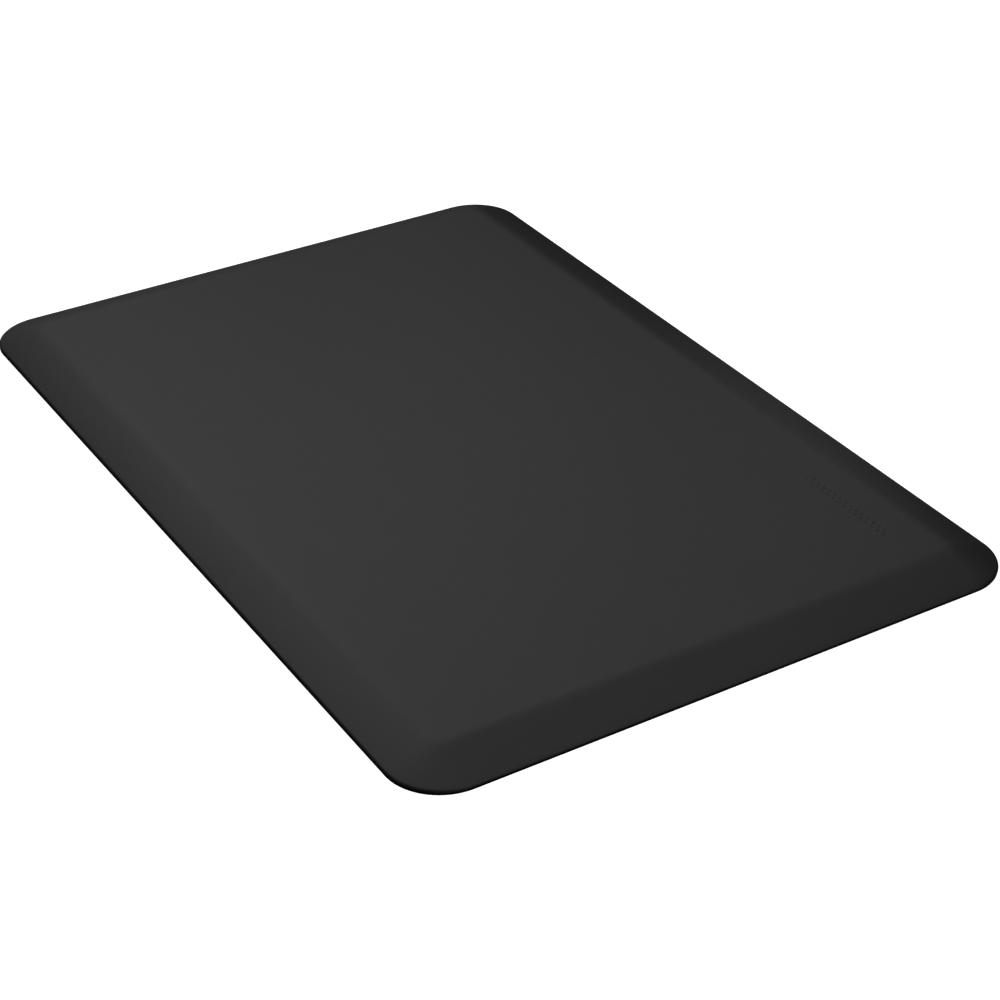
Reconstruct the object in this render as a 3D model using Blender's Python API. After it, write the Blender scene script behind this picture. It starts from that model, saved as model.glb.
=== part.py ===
"""Anti-fatigue standing mat: a low cushion mat with rounded corners, four
sloping edges, a rounded lip and a thin non-slip bottom sheet.

Metres, +Z up.  The origin is at the centre of the underside, +Y runs along the
long side and the mat stands on Z = 0.

    blender --background --python part.py
"""

import math

import bmesh
import bpy
from mathutils import Matrix, Vector

# ---------------------------------------------------------------- dimensions
WIDTH = 0.6096            # short side (24 in), along X
LENGTH = 0.9144           # long side (36 in), along Y
THICKNESS = 0.01905       # underside to standing surface (3/4 in)
CORNER_RADIUS = 0.0518    # outline corners, seen from above
CORNER_STEPS = 12         # facets in each quarter corner

BEVEL_FOOT = 0.0048       # height of the bevel at the lip, before its rounding
FOOT_ANGLE = math.radians(22.53)       # slope of the bevel at the lip
SHOULDER_ANGLE = math.radians(15.93)   # slope of the bevel below the shoulder
SHOULDER_RADIUS = 0.0493  # soft change from bevel to standing surface
LIP_RADIUS = 0.0034       # rounding between the lip and the bevel

BASE_THICKNESS = 0.0021   # non-slip bottom sheet
BASE_INSET = 0.0003       # the sheet's edge stands back under the lip
GAP = 0.0003              # clearance between bonded neighbours
SKIN = 0.0015             # wall of the moulded cover
RIM = 0.0024              # width of the cover's bottom rim

DIMPLES = 15              # round dimples in the longer of two staggered rows
DIMPLE_RADIUS = 0.0020
DIMPLE_DEPTH = 0.00035
DIMPLE_PITCH = 0.0080
DIMPLE_ROWS_APART = 0.0054
DIMPLE_ROW = (0.2255, -0.3080)   # centre of the rows, which run along Y

# The bevel is a very flat convex arc between its two slopes; in the (inset,
# height) plane its centre lies far below the mat.
CROWN_RADIUS = (THICKNESS - BEVEL_FOOT - SHOULDER_RADIUS * (1 - math.cos(SHOULDER_ANGLE))) / (
    math.cos(SHOULDER_ANGLE) - math.cos(FOOT_ANGLE)
)
CROWN_CENTRE = (
    CROWN_RADIUS * math.sin(FOOT_ANGLE),
    BEVEL_FOOT - CROWN_RADIUS * math.cos(FOOT_ANGLE),
)
BEVEL_RUN = CROWN_CENTRE[0] - (CROWN_RADIUS - SHOULDER_RADIUS) * math.sin(SHOULDER_ANGLE)


# --------------------------------------------------------------------- scene
for thing in list(bpy.data.objects):
    bpy.data.objects.remove(thing, do_unlink=True)

mat_parts = bpy.data.collections.new("anti_fatigue_mat")
cutters = bpy.data.collections.new("cutters")
for group in (mat_parts, cutters):
    bpy.context.scene.collection.children.link(group)
cutters.hide_render = True

frame = bpy.data.objects.new("mat_frame", None)   # the mat's own origin
frame.empty_display_size = 0.1
mat_parts.objects.link(frame)


# ------------------------------------------------------------------- helpers
def material(name, colour, roughness, metallic=0.0):
    made = bpy.data.materials.new(name)
    made.use_nodes = True
    shader = made.node_tree.nodes["Principled BSDF"]
    shader.inputs["Base Color"].default_value = (*colour, 1.0)
    shader.inputs["Roughness"].default_value = roughness
    shader.inputs["Metallic"].default_value = metallic
    made.diffuse_color = (*colour, 1.0)
    return made


def slab(inset, low, high):
    """A flat slab with the mat's rounded outline, moved in by inset."""
    bm = bmesh.new()
    bmesh.ops.create_cube(bm, size=1.0)
    size = Vector((WIDTH - 2 * inset, LENGTH - 2 * inset, high - low))
    place = Matrix.Translation((0, 0, (low + high) / 2)) @ Matrix.Diagonal((*size, 1))
    bmesh.ops.transform(bm, matrix=place, verts=bm.verts)
    upright = [e for e in bm.edges if abs(e.verts[0].co.z - e.verts[1].co.z) > 1e-6]
    bmesh.ops.bevel(
        bm,
        geom=upright,
        offset=CORNER_RADIUS - inset,
        offset_type="OFFSET",
        segments=CORNER_STEPS,
        profile=0.5,
        affect="EDGES",
    )
    return bm


def level_face(bm, top):
    """The slab's highest or lowest horizontal face."""
    bm.normal_update()
    level = [f for f in bm.faces if abs(f.normal.z) > 0.999]
    pick = max if top else min
    return pick(level, key=lambda f: f.calc_center_median().z)


def terrace(bm, face, start, profile, rise):
    """Insets a face again and again so that its border follows the profile, a
    list of (distance in from the lip, height).  rise is +1 for a face that looks
    up and is raised, and -1 for one that looks down and is sunk."""
    inset, height = start
    for to_inset, to_height in profile:
        bmesh.ops.inset_region(
            bm,
            faces=[face],
            thickness=to_inset - inset,
            depth=(to_height - height) * rise,
            use_even_offset=True,
            use_boundary=True,
        )
        inset, height = to_inset, to_height


def arc(centre, radius, start, end, steps):
    """Points on an arc in the (inset, height) plane, angles in radians."""
    return [
        (
            centre[0] + radius * math.cos(start + (end - start) * i / steps),
            centre[1] + radius * math.sin(start + (end - start) * i / steps),
        )
        for i in range(steps + 1)
    ]


def bevel(inset, offset, steps, shoulder_steps):
    """The bevel from this inset up, and the soft shoulder over it, for a surface
    that lies offset below the outer one."""
    radius = CROWN_RADIUS - offset
    first = math.asin((CROWN_CENTRE[0] - inset) / radius)
    rise = arc(
        CROWN_CENTRE, radius, math.pi / 2 + first, math.pi / 2 + SHOULDER_ANGLE, steps
    )
    return rise[:-1] + arc(
        (BEVEL_RUN, THICKNESS - SHOULDER_RADIUS),
        SHOULDER_RADIUS - offset,
        math.pi / 2 + SHOULDER_ANGLE,
        math.pi / 2,
        shoulder_steps,
    )


def add_part(name, bm, finish):
    bmesh.ops.recalc_face_normals(bm, faces=bm.faces)
    mesh = bpy.data.meshes.new(name)
    bm.to_mesh(mesh)
    bm.free()
    part = bpy.data.objects.new(name, mesh)
    part.parent = frame
    mesh.materials.append(finish)
    mesh.shade_smooth()
    mesh.set_sharp_from_angle(angle=math.radians(25))
    mat_parts.objects.link(part)
    return part


# ----------------------------------------------------------------- materials
cover_finish = material("cover_polyurethane", (0.036, 0.036, 0.036), 0.62)
foam_finish = material("core_foam", (0.055, 0.055, 0.056), 0.90)
base_finish = material("base_grip_sheet", (0.010, 0.010, 0.010), 0.80)

# -------------------------------------------------------------- non_slip_base
# A flat sheet.  Its upper edge is eased so that it tucks under the lip.
ease = 0.0003
bm = slab(BASE_INSET, 0.0, BASE_THICKNESS - ease)
terrace(
    bm,
    level_face(bm, top=True),
    (BASE_INSET, BASE_THICKNESS - ease),
    [(BASE_INSET + ease, BASE_THICKNESS)],
    +1,
)
add_part("non_slip_base", bm, base_finish)

# ------------------------------------------------------------------ foam_core
floor_of_core = BASE_THICKNESS + GAP
core_inset = RIM + GAP
core_curve = bevel(core_inset, SKIN + GAP, 3, 3)
bm = slab(core_inset, floor_of_core, core_curve[0][1])
terrace(bm, level_face(bm, top=True), core_curve[0], core_curve[1:], +1)
add_part("foam_core", bm, foam_finish)

# ------------------------------------------------------------------ top_cover
# Outside: rim, rounded lip, bevel, shoulder, standing surface.
rim_height = BASE_THICKNESS + GAP
lip_slope = math.asin((CROWN_CENTRE[0] - LIP_RADIUS) / (CROWN_RADIUS - LIP_RADIUS))
lip_start = CROWN_CENTRE[1] + (CROWN_RADIUS - LIP_RADIUS) * math.cos(lip_slope)
lip = arc((LIP_RADIUS, lip_start), LIP_RADIUS, math.pi, math.pi / 2 + lip_slope, 4)
bm = slab(0.0, rim_height, lip_start)
terrace(
    bm,
    level_face(bm, top=True),
    lip[0],
    lip[1:-1] + bevel(lip[-1][0], 0.0, 3, 4),
    +1,
)
# Inside: a cavity that keeps the wall even, open at the bottom for the core.
terrace(
    bm,
    level_face(bm, top=False),
    (0.0, rim_height),
    [(RIM, rim_height)],
    -1,
)
inner = bevel(RIM, SKIN, 3, 3)
underside = min(
    (f for f in bm.faces if abs(f.normal.z) > 0.999 and len(f.verts) > 4),
    key=lambda f: f.calc_center_median().z,
)
cavity = bmesh.ops.extrude_discrete_faces(bm, faces=[underside])["faces"][0]
bmesh.ops.translate(
    bm, vec=(0, 0, inner[0][1] - rim_height), verts=cavity.verts
)
terrace(bm, cavity, inner[0], inner[1:], -1)
cover = add_part("top_cover", bm, cover_finish)

# Two plain rows of shallow round dimples, cut into the standing surface.
bm = bmesh.new()
for side, count in ((-0.5, DIMPLES), (0.5, DIMPLES - 1)):
    for i in range(count):
        across = DIMPLE_ROW[0] + side * DIMPLE_ROWS_APART
        along = DIMPLE_ROW[1] + (i - (count - 1) / 2) * DIMPLE_PITCH
        bmesh.ops.create_cone(
            bm,
            cap_ends=True,
            segments=14,
            radius1=DIMPLE_RADIUS - 0.0005,
            radius2=DIMPLE_RADIUS + 0.0005,
            depth=2 * DIMPLE_DEPTH,
            matrix=Matrix.Translation((across, along, THICKNESS)),
        )
mesh = bpy.data.meshes.new("dimple_rows")
bm.to_mesh(mesh)
bm.free()
dimple_rows = bpy.data.objects.new("dimple_rows", mesh)
dimple_rows.hide_render = True
dimple_rows.display_type = "WIRE"
cutters.objects.link(dimple_rows)
cut = cover.modifiers.new("dimples", "BOOLEAN")
cut.operation = "DIFFERENCE"
cut.solver = "EXACT"
cut.object = dimple_rows
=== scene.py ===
"""The looks of the anti-fatigue mat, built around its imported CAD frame.

Three moulded pieces: the skin that is walked on, the foam inside it and the
non-slip sheet under it.  Everything is in metres, in the frame of the CAD.
"""
import math

import bmesh
import bpy
from mathutils import Matrix, Vector


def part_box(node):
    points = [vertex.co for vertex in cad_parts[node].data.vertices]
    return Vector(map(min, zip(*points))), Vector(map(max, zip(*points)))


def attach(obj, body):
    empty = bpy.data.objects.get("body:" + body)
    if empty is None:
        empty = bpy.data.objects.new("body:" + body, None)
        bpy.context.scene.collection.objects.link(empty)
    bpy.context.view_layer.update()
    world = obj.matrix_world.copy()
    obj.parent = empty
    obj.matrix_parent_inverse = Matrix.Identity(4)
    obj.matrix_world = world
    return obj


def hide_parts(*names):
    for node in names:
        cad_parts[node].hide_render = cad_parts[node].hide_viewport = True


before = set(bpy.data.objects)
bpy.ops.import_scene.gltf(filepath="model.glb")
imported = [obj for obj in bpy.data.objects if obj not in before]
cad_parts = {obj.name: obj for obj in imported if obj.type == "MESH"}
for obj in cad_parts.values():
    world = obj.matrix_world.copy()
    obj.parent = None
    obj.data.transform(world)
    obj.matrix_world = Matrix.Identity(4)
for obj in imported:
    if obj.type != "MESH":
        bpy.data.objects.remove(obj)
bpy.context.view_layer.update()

# ------------------------------------------------------------------ dimensions
low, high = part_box("top_cover")
base_low, base_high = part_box("non_slip_base")
core_low, core_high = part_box("foam_core")
HALF_X, HALF_Y = high.x, high.y          # half of the short and of the long side
TOP = high.z                             # standing surface
BASE_TOP = base_high.z                   # top of the bottom sheet
BASE_INSET = HALF_X - base_high.x
CORE_INSET = HALF_X - core_high.x

CORNER = 0.0518                          # outline radius, seen from above
CORNER_MIN = 0.0010                      # and the least radius further in
FOOT = 0.0048                            # height of the bevel at the lip
FOOT_ANGLE = math.radians(22.53)         # its slope there
SHOULDER_ANGLE = math.radians(15.93)     # and where the shoulder starts
SHOULDER = 0.0493                        # radius of the soft shoulder
LIP = 0.0034                             # radius between lip and bevel
WALL = 0.0015
# The bevel itself is a very flat arc that joins those two slopes.
CROWN = (TOP - FOOT - SHOULDER * (1 - math.cos(SHOULDER_ANGLE))) / (
    math.cos(SHOULDER_ANGLE) - math.cos(FOOT_ANGLE)
)
CROWN_IN, CROWN_Z = CROWN * math.sin(FOOT_ANGLE), FOOT - CROWN * math.cos(FOOT_ANGLE)
RUN = CROWN_IN - (CROWN - SHOULDER) * math.sin(SHOULDER_ANGLE)
LIP_ANGLE = math.asin((CROWN_IN - LIP) / (CROWN - LIP))
LIP_Z = CROWN_Z + (CROWN - LIP) * math.cos(LIP_ANGLE)

# Name, azimuth, elevation, distance, width, height and power of each soft light
SOFTBOXES = (
    ("overhead_back", 98.6, 54.3, 1.18, 2.60, 0.90, 4.242),
    ("back_wide", 80.2, 32.3, 1.59, 1.29, 2.03, 1.895),
    ("right_low", 24.7, 26.3, 1.10, 0.35, 0.95, 0.288),
    ("back_near", 99.7, 29.9, 1.10, 0.69, 0.60, 0.323),
    ("front_high", 242.5, 65.8, 1.10, 1.51, 1.38, 3.556),
    ("right_high", 337.9, 46.6, 1.10, 0.90, 0.46, 0.406),
    ("front_low", 278.3, 15.3, 1.10, 1.15, 0.56, 1.318),
)
SKY_FILL = 0.010

ARC_STEPS = 24                           # facets round each quarter corner
NX, NY = 42, 68                          # cells along the straight sides


# --------------------------------------------------------------------- helpers
def outline(inset, z, nx=NX, ny=NY, arcs=ARC_STEPS):
    """Points round the mat's outline, moved in by inset, counter-clockwise."""
    r = max(CORNER - inset, CORNER_MIN)
    sx, sy = HALF_X - inset - r, HALF_Y - inset - r
    points = []
    quarters = (
        (sx, sy, 0.0, (-1, 0), nx, 2 * sx),
        (-sx, sy, 90.0, (0, -1), ny, 2 * sy),
        (-sx, -sy, 180.0, (1, 0), nx, 2 * sx),
        (sx, -sy, 270.0, (0, 1), ny, 2 * sy),
    )
    for cx, cy, start, along, count, length in quarters:
        for i in range(arcs + 1):
            a = math.radians(start + 90.0 * i / arcs)
            points.append((cx + r * math.cos(a), cy + r * math.sin(a), z))
        x, y = points[-1][:2]
        for i in range(1, count):
            t = length * i / count
            points.append((x + along[0] * t, y + along[1] * t, z))
    return points


def add_ring(bm, points):
    return [bm.verts.new(p) for p in points]


def join_rings(bm, outer, inner, flip=False):
    n = len(outer)
    for i in range(n):
        j = (i + 1) % n
        quad = (outer[i], outer[j], inner[j], inner[i])
        bm.faces.new(quad[::-1] if flip else quad)


def grid_half(inset):
    """Half sizes of the rectangle through the corner centres of that outline."""
    r = max(CORNER - inset, CORNER_MIN)
    return HALF_X - inset - r, HALF_Y - inset - r


def plateau(bm, ring, inset, z, nx=NX, ny=NY, arcs=ARC_STEPS, flip=False, skip=None):
    """Fills a rounded ring with a regular grid, and a fan at each corner."""
    sx, sy = grid_half(inset)
    grid = [
        [
            bm.verts.new((-sx + 2 * sx * i / nx, -sy + 2 * sy * j / ny, z))
            for j in range(ny + 1)
        ]
        for i in range(nx + 1)
    ]

    def face(*verts):
        bm.faces.new(verts[::-1] if flip else verts)

    for i in range(nx):
        for j in range(ny):
            if skip and skip(i, j):
                continue
            face(grid[i][j], grid[i + 1][j], grid[i + 1][j + 1], grid[i][j + 1])
    # The ring starts at the (+x, +y) corner and runs counter-clockwise.
    at, n = 0, len(ring)
    sides = (
        (grid[nx][ny], [grid[nx - i][ny] for i in range(nx + 1)]),
        (grid[0][ny], [grid[0][ny - j] for j in range(ny + 1)]),
        (grid[0][0], [grid[i][0] for i in range(nx + 1)]),
        (grid[nx][0], [grid[nx][j] for j in range(ny + 1)]),
    )
    for corner, side in sides:
        for _ in range(arcs):
            face(ring[at], ring[(at + 1) % n], corner)
            at += 1
        for k in range(len(side) - 1):
            face(ring[at % n], ring[(at + 1) % n], side[k + 1], side[k])
            at += 1
    return grid


def arc(centre, radius, start, end, steps):
    return [
        (
            centre[0] + radius * math.cos(start + (end - start) * i / steps),
            centre[1] + radius * math.sin(start + (end - start) * i / steps),
        )
        for i in range(steps + 1)
    ]


def crown_angle(inset, offset=0.0):
    """Slope of the bevel at this inset, on a surface offset below the outer one."""
    return math.asin((CROWN_IN - inset) / (CROWN - offset))


def bevel_curve(inset, offset, crown_steps, shoulder_steps):
    """(inset, height) from this inset up the bevel and over the shoulder."""
    first = crown_angle(inset, offset)
    points = []
    for i in range(crown_steps):
        a = first + (SHOULDER_ANGLE - first) * i / crown_steps
        points.append(
            (
                CROWN_IN - (CROWN - offset) * math.sin(a),
                CROWN_Z + (CROWN - offset) * math.cos(a),
            )
        )
    for i in range(shoulder_steps + 1):
        a = SHOULDER_ANGLE * (1 - i / shoulder_steps)
        points.append(
            (
                RUN - (SHOULDER - offset) * math.sin(a),
                TOP - SHOULDER + (SHOULDER - offset) * math.cos(a),
            )
        )
    return points


def float_attribute(mesh, name, values):
    attribute = mesh.attributes.new(name, "FLOAT", "POINT")
    attribute.data.foreach_set("value", values)


def finish_piece(name, bm, body, node, material, smooth_angle=40.0):
    bmesh.ops.recalc_face_normals(bm, faces=bm.faces)
    if bm.calc_volume(signed=True) < 0:
        bmesh.ops.reverse_faces(bm, faces=bm.faces)
    mesh = bpy.data.meshes.new(name)
    bm.to_mesh(mesh)
    bm.free()
    mesh.shade_smooth()
    mesh.set_sharp_from_angle(angle=math.radians(smooth_angle))
    mesh.materials.append(material)
    piece = bpy.data.objects.new(name, mesh)
    bpy.context.scene.collection.objects.link(piece)
    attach(piece, body)
    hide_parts(node)
    return piece


# ------------------------------------------------------------------- materials
def new_material(name):
    made = bpy.data.materials.new(name)
    made.use_nodes = True
    tree = made.node_tree
    return made, tree, tree.nodes["Principled BSDF"]


def noise(tree, vector, scale, detail=2.0, rough=0.5):
    node = tree.nodes.new("ShaderNodeTexNoise")
    node.inputs["Scale"].default_value = scale
    node.inputs["Detail"].default_value = detail
    node.inputs["Roughness"].default_value = rough
    tree.links.new(vector, node.inputs["Vector"])
    return node.outputs["Fac"]


def math_node(tree, operation, a, b=None, clamp=False):
    node = tree.nodes.new("ShaderNodeMath")
    node.operation = operation
    node.use_clamp = clamp
    for i, value in enumerate((a, b)):
        if value is None:
            continue
        if isinstance(value, (int, float)):
            node.inputs[i].default_value = value
        else:
            tree.links.new(value, node.inputs[i])
    return node.outputs[0]


def remap(tree, value, to_low, to_high, from_low=0.0, from_high=1.0):
    node = tree.nodes.new("ShaderNodeMapRange")
    node.inputs["From Min"].default_value = from_low
    node.inputs["From Max"].default_value = from_high
    node.inputs["To Min"].default_value = to_low
    node.inputs["To Max"].default_value = to_high
    tree.links.new(value, node.inputs["Value"])
    return node.outputs["Result"]


def grey(tree, value):
    node = tree.nodes.new("ShaderNodeCombineColor")
    for channel in ("Red", "Green", "Blue"):
        tree.links.new(value, node.inputs[channel])
    return node.outputs["Color"]


def bump(tree, height, distance, strength, normal=None):
    node = tree.nodes.new("ShaderNodeBump")
    node.inputs["Distance"].default_value = distance
    node.inputs["Strength"].default_value = strength
    tree.links.new(height, node.inputs["Height"])
    if normal is not None:
        tree.links.new(normal, node.inputs["Normal"])
    return node.outputs["Normal"]


COVER_GREY = 0.0201
COVER_ROUGH = 0.486


def cover_material():
    made, tree, shader = new_material("cover_skin")
    place = tree.nodes.new("ShaderNodeTexCoord").outputs["Object"]
    pebble = tree.nodes.new("ShaderNodeTexVoronoi")
    pebble.feature = "SMOOTH_F1"
    pebble.inputs["Scale"].default_value = 620.0
    pebble.inputs["Smoothness"].default_value = 0.6
    tree.links.new(place, pebble.inputs["Vector"])
    grain = noise(tree, place, 900.0, 3.0, 0.55)
    cloud = noise(tree, place, 9.0, 3.0, 0.5)
    mottle = noise(tree, place, 130.0, 2.0, 0.5)
    shoulder_highlight_and_lip_wear = tree.nodes.new("ShaderNodeAttribute")
    shoulder_highlight_and_lip_wear.attribute_name = "shoulder_highlight_and_lip_wear"
    shoulder_highlight_and_lip_wear = shoulder_highlight_and_lip_wear.outputs["Fac"]
    # colour: black, a little uneven, greyer along the lip where it is handled, and
    # lighter along the shoulder as a painted highlight
    value = remap(tree, cloud, COVER_GREY * 0.97, COVER_GREY * 1.03, 0.3, 0.7)
    value = math_node(
        tree, "MULTIPLY", value, remap(tree, mottle, 0.988, 1.012, 0.3, 0.7)
    )
    value = math_node(
        tree, "MULTIPLY", value, remap(tree, pebble.outputs["Distance"], 1.03, 0.95)
    )
    # painted highlight: this mask lightens the shoulder band, and greys the lip as wear
    value = math_node(
        tree, "ADD", value, math_node(tree, "MULTIPLY", shoulder_highlight_and_lip_wear, COVER_GREY * 0.03)
    )
    tree.links.new(grey(tree, value), shader.inputs["Base Color"])
    # roughness
    rough = remap(tree, mottle, COVER_ROUGH - 0.012, COVER_ROUGH + 0.012, 0.3, 0.7)
    rough = math_node(tree, "SUBTRACT", rough, math_node(tree, "MULTIPLY", shoulder_highlight_and_lip_wear, 0.008))
    tree.links.new(rough, shader.inputs["Roughness"])
    # surface: fine pebble with a finer grain on it
    normal = bump(tree, grain, 0.00004, 0.35)
    normal = bump(tree, pebble.outputs["Distance"], 0.00010, 0.30, normal)
    tree.links.new(normal, shader.inputs["Normal"])
    return made


def foam_material():
    made, tree, shader = new_material("foam")
    place = tree.nodes.new("ShaderNodeTexCoord").outputs["Object"]
    cells = tree.nodes.new("ShaderNodeTexVoronoi")
    cells.feature = "F1"
    cells.inputs["Scale"].default_value = 700.0
    tree.links.new(place, cells.inputs["Vector"])
    blotch = noise(tree, place, 60.0, 3.0, 0.5)
    value = remap(tree, cells.outputs["Distance"], 0.035, 0.075, 0.0, 0.7)
    value = math_node(
        tree, "MULTIPLY", value, remap(tree, blotch, 0.9, 1.1, 0.3, 0.7)
    )
    tree.links.new(grey(tree, value), shader.inputs["Base Color"])
    shader.inputs["Roughness"].default_value = 0.9
    tree.links.new(
        bump(tree, cells.outputs["Distance"], 0.0004, 0.6), shader.inputs["Normal"]
    )
    return made


def base_material():
    made, tree, shader = new_material("base_sheet")
    place = tree.nodes.new("ShaderNodeTexCoord").outputs["Object"]
    grain = noise(tree, place, 500.0, 3.0, 0.6)
    # near-black: the sheet is darker than the skin, and is darkened further as painted
    # shade for the shadow line under the lip
    value = remap(tree, grain, 0.002, 0.004, 0.3, 0.7)
    tree.links.new(grey(tree, value), shader.inputs["Base Color"])
    tree.links.new(remap(tree, grain, 0.82, 0.92, 0.3, 0.7), shader.inputs["Roughness"])
    shader.inputs["Specular IOR Level"].default_value = 0.12
    tree.links.new(bump(tree, grain, 0.0001, 0.5), shader.inputs["Normal"])
    return made


# ----------------------------------------------------------------- the skin
RIM_Z = BASE_TOP + 0.00003               # it sits on the bottom sheet
RIM_W = 0.0024
LOW_R = 0.00020                          # eased lower edge of the lip


def outer_profile():
    """(inset, height) from the bottom of the lip up to the standing surface."""
    points = arc((LOW_R, RIM_Z + LOW_R), LOW_R, 1.5 * math.pi, math.pi, 3)
    points += arc((LIP, LIP_Z), LIP, math.pi, math.pi / 2 + LIP_ANGLE, 12)
    foot = points.pop()[0]
    points += bevel_curve(foot, 0.0, 9, 18)
    points.append((RUN + 0.0004, TOP))
    return points


def inner_profile():
    """(inset, height) of the shell's inside, from the rim up."""
    points = [(RIM_W, RIM_Z)] + bevel_curve(RIM_W, WALL, 4, 6)
    points.append((RUN + 0.0004, TOP - WALL))
    return points


# Two plain staggered rows of dimples stand in for the mark pressed into the
# surface.
DIMPLES = 15
DIMPLE_R, DIMPLE_DEEP, DIMPLE_PITCH, DIMPLE_APART = 0.0020, 0.00035, 0.0080, 0.0054
DIMPLE_X, DIMPLE_Y = 0.2255, -0.3080


def dimple_centres():
    centres = []
    for side, count in ((-0.5, DIMPLES), (0.5, DIMPLES - 1)):
        for k in range(count):
            along = (k - (count - 1) / 2) * DIMPLE_PITCH
            centres.append((DIMPLE_X + side * DIMPLE_APART, DIMPLE_Y + along))
    return centres


def dimple_profile():
    """(radius, depth below the surface) from the flat land to the middle."""
    points = []
    for more in (0.0010, 0.0006, 0.0004, 0.0002, 0.0, -0.0002, -0.0004, -0.0006, -0.0008):
        t = min(max((0.0004 - more) / 0.0012, 0.0), 1.0)
        points.append((DIMPLE_R + more, DIMPLE_DEEP * t * t * (3 - 2 * t)))
    points.append((DIMPLE_R * 0.3, DIMPLE_DEEP))
    return points


def add_dimples(bm, hole_edges):
    edges = list(hole_edges)
    steps = 28
    for cx, cy in dimple_centres():
        rings = []
        for r, deep in dimple_profile():
            rings.append(
                [
                    bm.verts.new(
                        (
                            cx + r * math.cos(2 * math.pi * i / steps),
                            cy + r * math.sin(2 * math.pi * i / steps),
                            TOP - deep,
                        )
                    )
                    for i in range(steps)
                ]
            )
        for outer, inner in zip(rings, rings[1:]):
            join_rings(bm, outer, inner)
        middle = bm.verts.new((cx, cy, TOP - DIMPLE_DEEP))
        for i in range(steps):
            bm.faces.new((rings[-1][i], rings[-1][(i + 1) % steps], middle))
        first = rings[0]
        edges += [
            bm.edges.get((first[i], first[(i + 1) % steps])) for i in range(steps)
        ]
    bmesh.ops.triangle_fill(bm, use_beauty=True, edges=edges)


def build_cover():
    bm = bmesh.new()
    profile = outer_profile()
    rings = [add_ring(bm, outline(inset, z)) for inset, z in profile]
    for outer, inner in zip(rings, rings[1:]):
        join_rings(bm, outer, inner)
    sx, sy = grid_half(profile[-1][0])
    cell_x, cell_y = 2 * sx / NX, 2 * sy / NY
    i0 = int((DIMPLE_X - 0.009 + sx) / cell_x)
    i1 = math.ceil((DIMPLE_X + 0.009 + sx) / cell_x)
    reach = (DIMPLES - 1) / 2 * DIMPLE_PITCH + 0.009
    j0 = int((DIMPLE_Y - reach + sy) / cell_y)
    j1 = math.ceil((DIMPLE_Y + reach + sy) / cell_y)
    grid = plateau(
        bm,
        rings[-1],
        profile[-1][0],
        TOP,
        skip=lambda i, j: i0 <= i < i1 and j0 <= j < j1,
    )
    around = (
        [(i, j0) for i in range(i0, i1)]
        + [(i1, j) for j in range(j0, j1)]
        + [(i, j1) for i in range(i1, i0, -1)]
        + [(i0, j) for j in range(j1, j0, -1)]
    )
    inner_verts = [
        grid[i][j] for i in range(i0 + 1, i1) for j in range(j0 + 1, j1)
    ]
    bmesh.ops.delete(bm, geom=inner_verts, context="VERTS")
    hole = [
        bm.edges.get((grid[a[0]][a[1]], grid[b[0]][b[1]]))
        for a, b in zip(around, around[1:] + around[:1])
    ]
    add_dimples(bm, hole)
    cavity = inner_profile()
    inside = [add_ring(bm, outline(inset, z)) for inset, z in cavity]
    join_rings(bm, rings[0], inside[0], flip=True)
    for outer, inner in zip(inside, inside[1:]):
        join_rings(bm, outer, inner, flip=True)
    plateau(bm, inside[-1], cavity[-1][0], TOP - WALL, flip=True)
    return bm


def outline_distance(x, y):
    """How far inside the mat's outline a point is."""
    qx, qy = abs(x) - (HALF_X - CORNER), abs(y) - (HALF_Y - CORNER)
    outside = math.hypot(max(qx, 0.0), max(qy, 0.0))
    return CORNER - (outside + min(max(qx, qy), 0.0))


def shoulder_highlight_and_lip_wear_of(mesh):
    """1 along the shoulder, as a painted highlight, and 0.3 along the lip, where a mat is
    rubbed and handled.
    """
    values = []
    for v in mesh.vertices:
        d = outline_distance(v.co.x, v.co.y)
        # painted highlight band along the shoulder
        shoulder = math.exp(-(((d - 0.0465) / 0.0045) ** 2))
        lip = math.exp(-((d / 0.0025) ** 2))
        values.append(max(shoulder, 0.3 * lip))
    return values


cover = finish_piece(
    "mat_cover", build_cover(), "root", "top_cover", cover_material()
)
float_attribute(cover.data, "shoulder_highlight_and_lip_wear", shoulder_highlight_and_lip_wear_of(cover.data))


# ----------------------------------------------------------------- the foam
def build_core():
    """Foam cast inside the shell: it follows the cavity, with eased edges."""
    bm = bmesh.new()
    gap = 0.00005
    nx, ny, arcs = 21, 34, 12
    bottom = RIM_Z + 0.00002
    inset = RIM_W + gap
    profile = [(inset + 0.0008, bottom), (inset, bottom + 0.0003)]
    profile += bevel_curve(inset, WALL + gap, 5, 8)
    rings = [
        add_ring(bm, outline(d, z, nx, ny, arcs)) for d, z in profile
    ]
    for outer, inner in zip(rings, rings[1:]):
        join_rings(bm, outer, inner)
    plateau(bm, rings[-1], profile[-1][0], TOP - WALL - gap, nx, ny, arcs)
    plateau(bm, rings[0], profile[0][0], bottom, nx, ny, arcs, flip=True)
    return bm


core = finish_piece(
    "mat_foam_core", build_core(), "root", "foam_core", foam_material()
)


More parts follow.
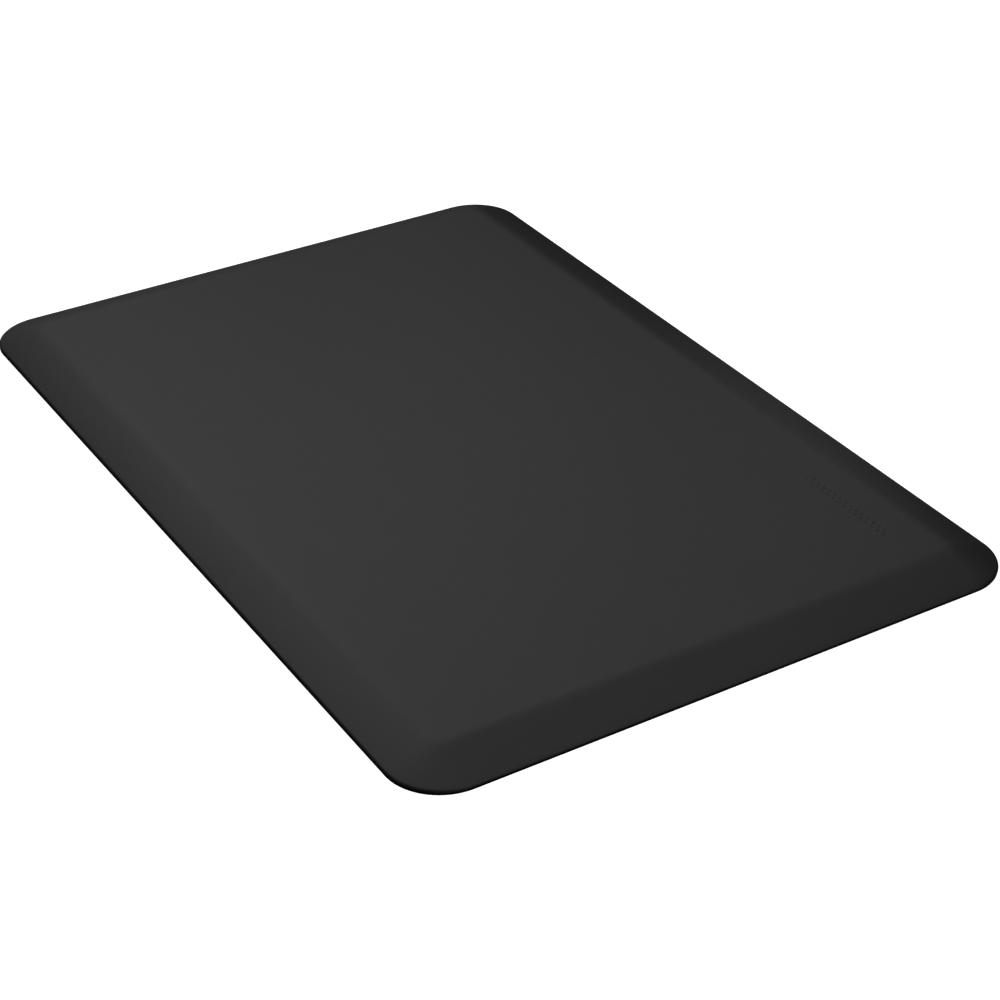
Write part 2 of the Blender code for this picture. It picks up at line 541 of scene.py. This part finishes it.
# ----------------------------------------------------------------- the base
def build_base():
    """The bottom sheet, with a shallow waffle of square lands underneath."""
    bm = bmesh.new()
    nx, ny, arcs = 28, 44, 24
    ease = 0.00025
    profile = [
        (BASE_INSET + 0.0006, 0.0),
        (BASE_INSET + 0.0001, 0.0002),
        (BASE_INSET, 0.0004),
        (BASE_INSET, BASE_TOP - ease),
        (BASE_INSET + ease, BASE_TOP),
    ]
    rings = [add_ring(bm, outline(d, z, nx, ny, arcs)) for d, z in profile]
    for outer, inner in zip(rings, rings[1:]):
        join_rings(bm, outer, inner)
    plateau(bm, rings[-1], profile[-1][0], BASE_TOP, nx, ny, arcs)
    border = add_ring(bm, outline(0.0120, 0.0, nx, ny, arcs))
    step = add_ring(bm, outline(0.0124, 0.0004, nx, ny, arcs))
    join_rings(bm, rings[0], border, flip=True)
    join_rings(bm, border, step, flip=True)
    ring = add_ring(bm, outline(0.0440, 0.0004, nx, ny, arcs))
    join_rings(bm, step, ring, flip=True)
    plateau(bm, ring, 0.0440, 0.0004, nx, ny, arcs, flip=True)
    sx, sy = grid_half(0.0440)
    lands = [
        f
        for f in bm.faces
        if len(f.verts) == 4
        and all(
            abs(v.co.z - 0.0004) < 1e-7
            and abs(v.co.x) < sx + 1e-5
            and abs(v.co.y) < sy + 1e-5
            for v in f.verts
        )
    ]
    bm.normal_update()
    bmesh.ops.inset_individual(bm, faces=lands, thickness=0.0016, depth=0.0)
    bmesh.ops.inset_individual(bm, faces=lands, thickness=0.0004, depth=0.0004)
    return bm


base = finish_piece(
    "mat_base", build_base(), "root", "non_slip_base", base_material()
)

# ---------------------------------------------------------- floor and backdrop
def stage_piece(name, bm, glow):
    """A plain white surface that the camera sees, and that lights nothing."""
    mesh = bpy.data.meshes.new(name)
    bm.to_mesh(mesh)
    bm.free()
    made, tree, shader = new_material(name + "_white")
    shader.inputs["Base Color"].default_value = (0.90, 0.90, 0.90, 1)
    shader.inputs["Roughness"].default_value = 0.9
    shader.inputs["Specular IOR Level"].default_value = 0.0
    shader.inputs["Emission Color"].default_value = (1, 1, 1, 1)
    shader.inputs["Emission Strength"].default_value = glow
    mesh.materials.append(made)
    mesh.shade_smooth()
    thing = bpy.data.objects.new(name, mesh)
    bpy.context.scene.collection.objects.link(thing)
    thing.visible_diffuse = False
    thing.visible_glossy = False
    return thing


# One sweep: a round floor that curves up into a wall on every side.
bm = bmesh.new()
STAGE_R, STAGE_BEND, STAGE_WALL = 9.0, 3.0, 12.0
sweep = [(0.6, 0.0), (2.0, 0.0), (STAGE_R - STAGE_BEND, 0.0)]
for i in range(1, 13):
    a = math.radians(90.0 * i / 12)
    sweep.append(
        (
            STAGE_R - STAGE_BEND + STAGE_BEND * math.sin(a),
            STAGE_BEND * (1 - math.cos(a)),
        )
    )
sweep.append((STAGE_R, STAGE_WALL))
turns = 64
rings = [
    [
        bm.verts.new(
            (
                r * math.cos(2 * math.pi * k / turns),
                r * math.sin(2 * math.pi * k / turns),
                z - 0.0002,
            )
        )
        for k in range(turns)
    ]
    for r, z in sweep
]
bm.faces.new(rings[0])
for outer, inner in zip(rings[1:], rings):
    join_rings(bm, outer, inner)
sweep_stage = stage_piece("floor", bm, 1.02)
sweep_stage.visible_shadow = False

# ------------------------------------------------------------------ the lights
scene = bpy.context.scene
scene.view_settings.view_transform = "Standard"
scene.view_settings.look = "None"

world = bpy.data.worlds.new("studio")
scene.world = world
world.use_nodes = True
nodes, links = world.node_tree.nodes, world.node_tree.links
background = nodes["Background"]
background.inputs["Color"].default_value = (1, 1, 1, 1)
# A faint fill from the sky half only: the floor sends nothing back.
direction = nodes.new("ShaderNodeTexCoord").outputs["Generated"]
split = nodes.new("ShaderNodeSeparateXYZ")
links.new(direction, split.inputs["Vector"])
above = nodes.new("ShaderNodeMapRange")
above.inputs["From Min"].default_value = -0.02
above.inputs["From Max"].default_value = 0.02
above.inputs["To Min"].default_value = 0.0
above.inputs["To Max"].default_value = SKY_FILL
links.new(split.outputs["Z"], above.inputs["Value"])
links.new(above.outputs["Result"], background.inputs["Strength"])


def softbox(name, azimuth, elevation, distance, size_x, size_y, power):
    """A soft light that looks at the mat's centre; azimuth 0 is +X, 90 is +Y."""
    az, el = math.radians(azimuth), math.radians(elevation)
    out = Vector(
        (math.cos(az) * math.cos(el), math.sin(az) * math.cos(el), math.sin(el))
    )
    across = Vector((0, 0, 1)).cross(out).normalized()
    data = bpy.data.lights.new(name, "AREA")
    data.shape = "RECTANGLE"
    data.size, data.size_y = size_x, size_y
    data.energy = power
    lamp = bpy.data.objects.new(name, data)
    turned = Matrix((across, out.cross(across), out)).transposed().to_4x4()
    turned.translation = out * distance
    lamp.matrix_world = turned
    lamp.visible_camera = False
    scene.collection.objects.link(lamp)
    return lamp


for light in SOFTBOXES:
    softbox(*light)

# ------------------------------------------------------------------ the camera
YAW, PITCH, ROLL = -0.56087, 0.55929, -0.00238
DISTANCE, AIM = 2.22599, Vector((0.02877, -0.13591, 0.0))
FOCAL_PX, CENTRE_PX = 2413.40, 561.895
back = Vector(
    (
        math.sin(YAW) * math.cos(PITCH),
        -math.cos(YAW) * math.cos(PITCH),
        math.sin(PITCH),
    )
)
right = Vector((0, 0, 1)).cross(back).normalized()
up = back.cross(right)
turned_right = right * math.cos(ROLL) + up * math.sin(ROLL)
turned_up = -right * math.sin(ROLL) + up * math.cos(ROLL)
camera_data = bpy.data.cameras.new("camera")
camera_data.sensor_width = 36.0
camera_data.lens = FOCAL_PX * 36.0 / 1000.0
camera_data.shift_x = (500.0 - CENTRE_PX) / 1000.0
camera = bpy.data.objects.new("camera", camera_data)
place = Matrix((turned_right, turned_up, back)).transposed().to_4x4()
place.translation = AIM + back * DISTANCE
camera.matrix_world = place
scene.collection.objects.link(camera)
scene.camera = camera
